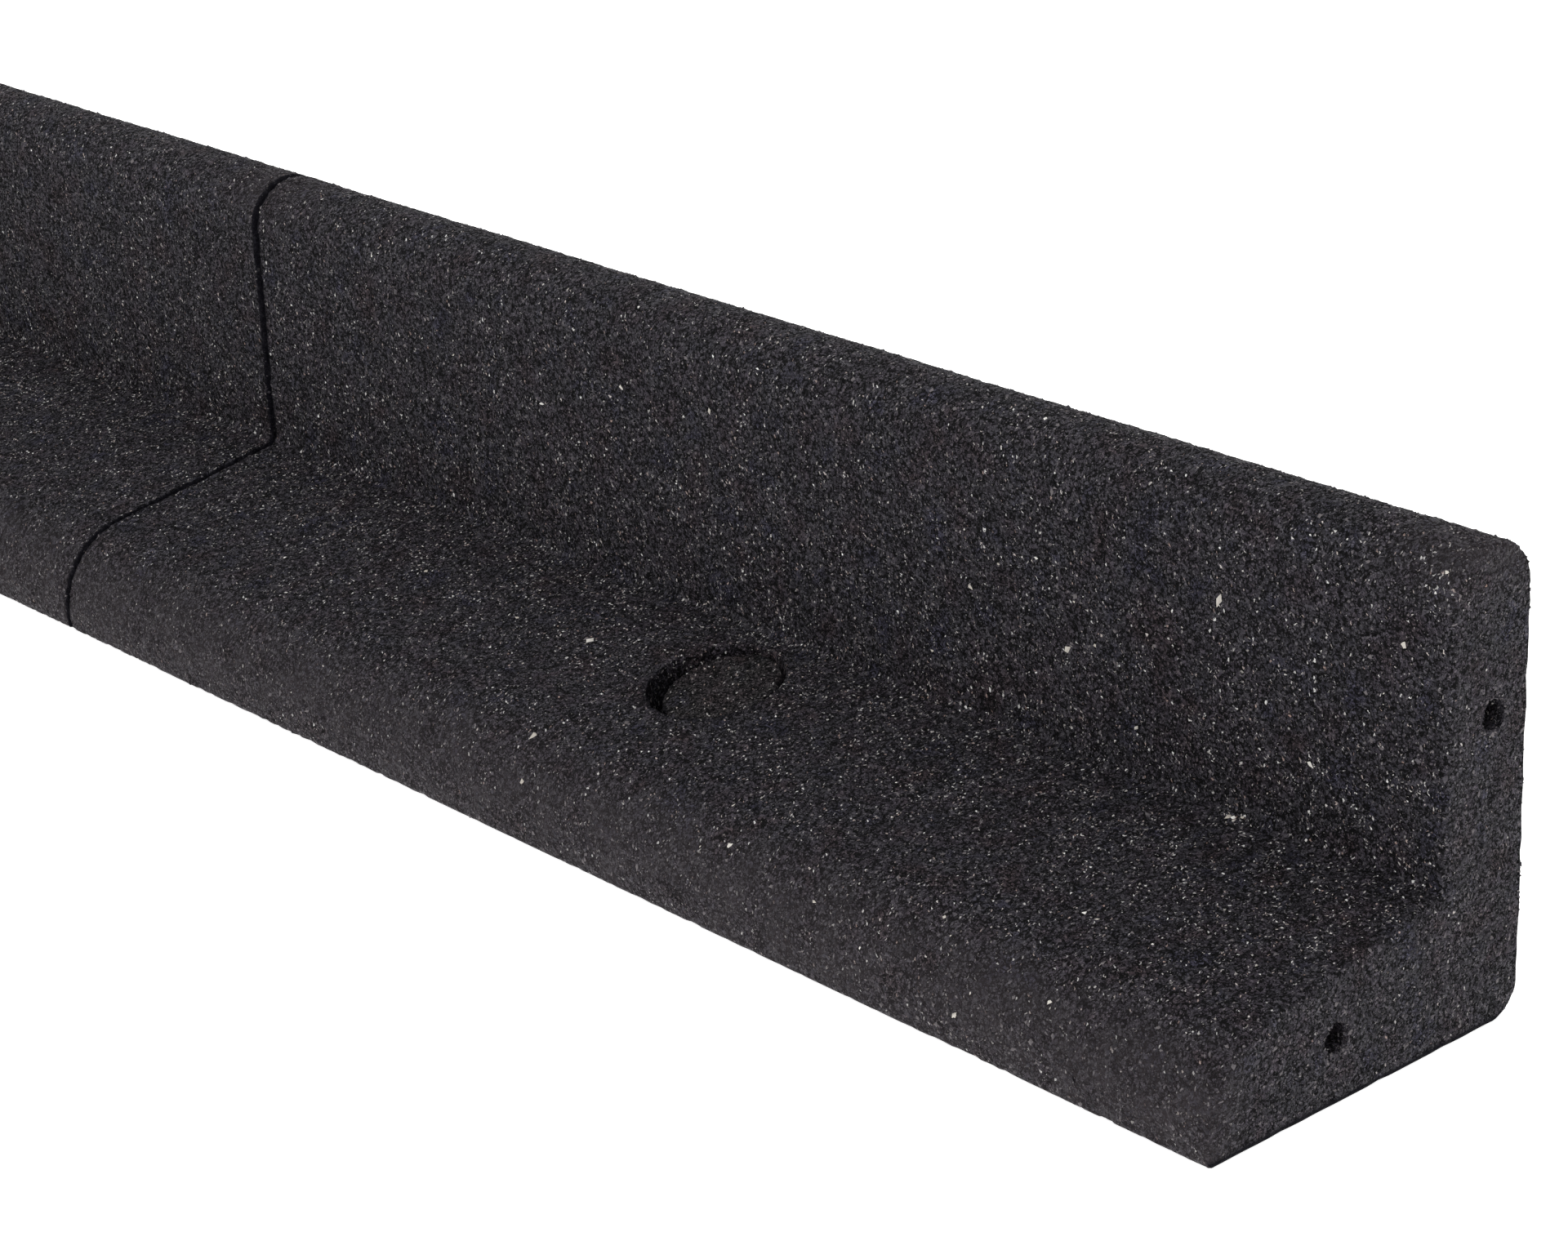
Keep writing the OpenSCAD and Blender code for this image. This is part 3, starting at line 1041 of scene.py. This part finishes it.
def painted_joint_shade(points, low, high):
    """Painted shade in the joint round a plug: black on its wall, and on the rim of its top."""
    away = np.hypot(points[:, 0] - (low.x + high.x) / 2, points[:, 1] - (low.y + high.y) / 2)
    return np.clip((away - (high.x - low.x) / 2 + JOINT_W) / (2 * MM), 0, JOINT_SHADE)


def crumbs_at(spots):
    """How thickly crumbs lie: thickest on the ragged mouths of the sockets, thicker at the two
    ends and along the toe, thin on the back, and none on the underside, in the sockets and in
    the seam."""
    mouths = np.zeros(len(spots))
    for place in ("upper", "lower"):
        (x, y, z), radius, depth = mount(f"near_{place}_socket")
        round_it = np.abs(np.hypot(spots[:, 1] - y, spots[:, 2] - z) - radius) / MOUTH_REACH
        end = x + depth / 2
        ends = np.array([end, -end, 0.0])
        along = np.abs(spots[:, :1] - ends).min(1) / MOUTH_REACH
        inner = (round_it < 0.3) & (along > 1)
        mouths += MOUTH_CRUMBS * np.exp(-round_it ** 2 - along ** 2) - inner
    behind = np.where(spots[:, 1] > cad_high.y - 3 * MM, BACK_CRUMBS, 1.0)
    ends = np.abs(spots[:, 0]) > cad_high.x - EDGE_ALONG
    open_air = (spots[:, 2] > np.where(ends, SHADOW_BAND_H, 2 * MM)) & (
        np.abs(spots[:, 0]) > SEAM_CLEAR)
    edge = np.minimum(cad_high.x - np.abs(spots[:, 0]), spots[:, 1] - cad_low.y)
    edges = 1 + EDGE_CRUMBS * np.clip(1 - edge / EDGE_REACH, 0, 1)
    return np.maximum((edges + mouths) * behind * open_air, 0)


def chips_at(spots):
    """Small pale chips lie everywhere but on the underside and in the seam."""
    return (spots[:, 2] > SHADOW_BAND_H) & (np.abs(spots[:, 0]) > SEAM_CLEAR)


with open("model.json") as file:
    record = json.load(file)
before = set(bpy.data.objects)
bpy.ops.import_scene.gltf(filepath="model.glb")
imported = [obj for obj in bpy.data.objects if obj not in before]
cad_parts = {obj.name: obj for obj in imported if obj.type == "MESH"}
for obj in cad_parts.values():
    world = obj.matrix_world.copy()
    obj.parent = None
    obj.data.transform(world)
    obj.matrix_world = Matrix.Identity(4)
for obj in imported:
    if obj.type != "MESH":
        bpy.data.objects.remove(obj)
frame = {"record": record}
cad_low, cad_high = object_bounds()
set_camera()
set_stage()

granulate = rubber_granulate(
    "bonded_rubber_granulate",
    [(0.0, "#0d0c0f"), (0.25, "#201e23"), (0.5, "#343137"), (0.78, "#514e55"), (1.0, "#757176")],
    0.0)
crumbs = loose_granules(
    "shredded_rubber_crumb",
    [(0.0, "#100f12"), (0.5, "#2e2b31"), (0.85, "#4c494f"), (1.0, "#6f6a6c")])
plug_rubber = rubber_granulate(
    "plug_rubber_granulate",
    [(0.0, "#0d0c0e"), (0.25, "#211f21"), (0.5, "#353133"), (0.78, "#534f50"), (1.0, "#767172")],
    3.1)
plastic = moulded_polyethylene("moulded_black_polyethylene")
zinc = zinc_plate("bright_zinc_plated_steel")
stone = loose_granules(
    "pale_mineral_chip", [(0.0, "#a79f95"), (0.3, "#cbc4ba"), (0.8, "#dcd7cf"), (1.0, "#f1eee9")])

for side, body, seed in (("near", "near_module", 11), ("far", "far_module", 57)):
    low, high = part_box(f"{side}_kerb")
    points, triangles = build_kerb(side, low, high, seed)
    kerb = piece(f"{side}_kerb_skin", points, triangles, granulate, body)
    keep(kerb, "glint", grains_and_painted_glints(points, low, high))
    keep(kerb, "dust", dusted(points, low, high))
    keep(kerb, "painted_shade", painted_shade_at(points, low, high, mount(f"{side}_anchor_hole")[0]))
    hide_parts(f"{side}_kerb")
    for number in range(NEAR_PIECES if side == "near" else FAR_PIECES):
        here = scattered(points, triangles, SHARDS_A_PIECE, seed + 100 * number + 1, crumbs_at)
        loose, faces, tone = shards(points, triangles, here, SHARD, seed + 100 * number + 2,
                                    SHARD_SUNK)
        layer = piece(f"{side}_kerb_crumbs_{number + 1}", loose, faces, crumbs, body, False)
        keep(layer, "tone", tone)
    known = CHIPS if side == "near" else CHIPS[:0]
    here = np.concatenate([nearest(points, triangles, known[:, :3] * MM),
                           scattered(points, triangles, CHIPS_A_MODULE, seed + 9, chips_at)])
    size = CHIP_SPAN * np.concatenate([known[:, 3] * MM, np.full(CHIPS_A_MODULE, CHIP)])
    loose, faces, tone = shards(points, triangles, here, size, seed + 10, CHIP_SUNK)
    layer = piece(f"{side}_kerb_pale_chips", loose, faces, stone, body, False)
    keep(layer, "tone", tone)
    low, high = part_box(f"{side}_cover_plug")
    points, triangles = plug_skin(low, high, seed + 2)
    plug = piece(f"{side}_plug_skin", points, triangles, plug_rubber, f"{side}_plug")
    keep(plug, "glint", np.full(len(points), PLUG_GRAINS_AND_GLINTS))
    keep(plug, "painted_shade", painted_joint_shade(points, low, high))
    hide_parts(f"{side}_cover_plug")
    low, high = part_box(f"{side}_washer")
    points, triangles = washer_skin(low, high, mount(f"{side}_anchor_hole")[1])
    washer = piece(f"{side}_punched_washer", points, triangles, zinc, body)
    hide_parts(f"{side}_washer")

for place in ("upper", "lower"):
    points, triangles = dowel_skin(*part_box(f"{place}_dowel"))
    dowel = piece(f"{place}_barbed_dowel", points, triangles, plastic, "near_module")
    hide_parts(f"{place}_dowel")

low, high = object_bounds()
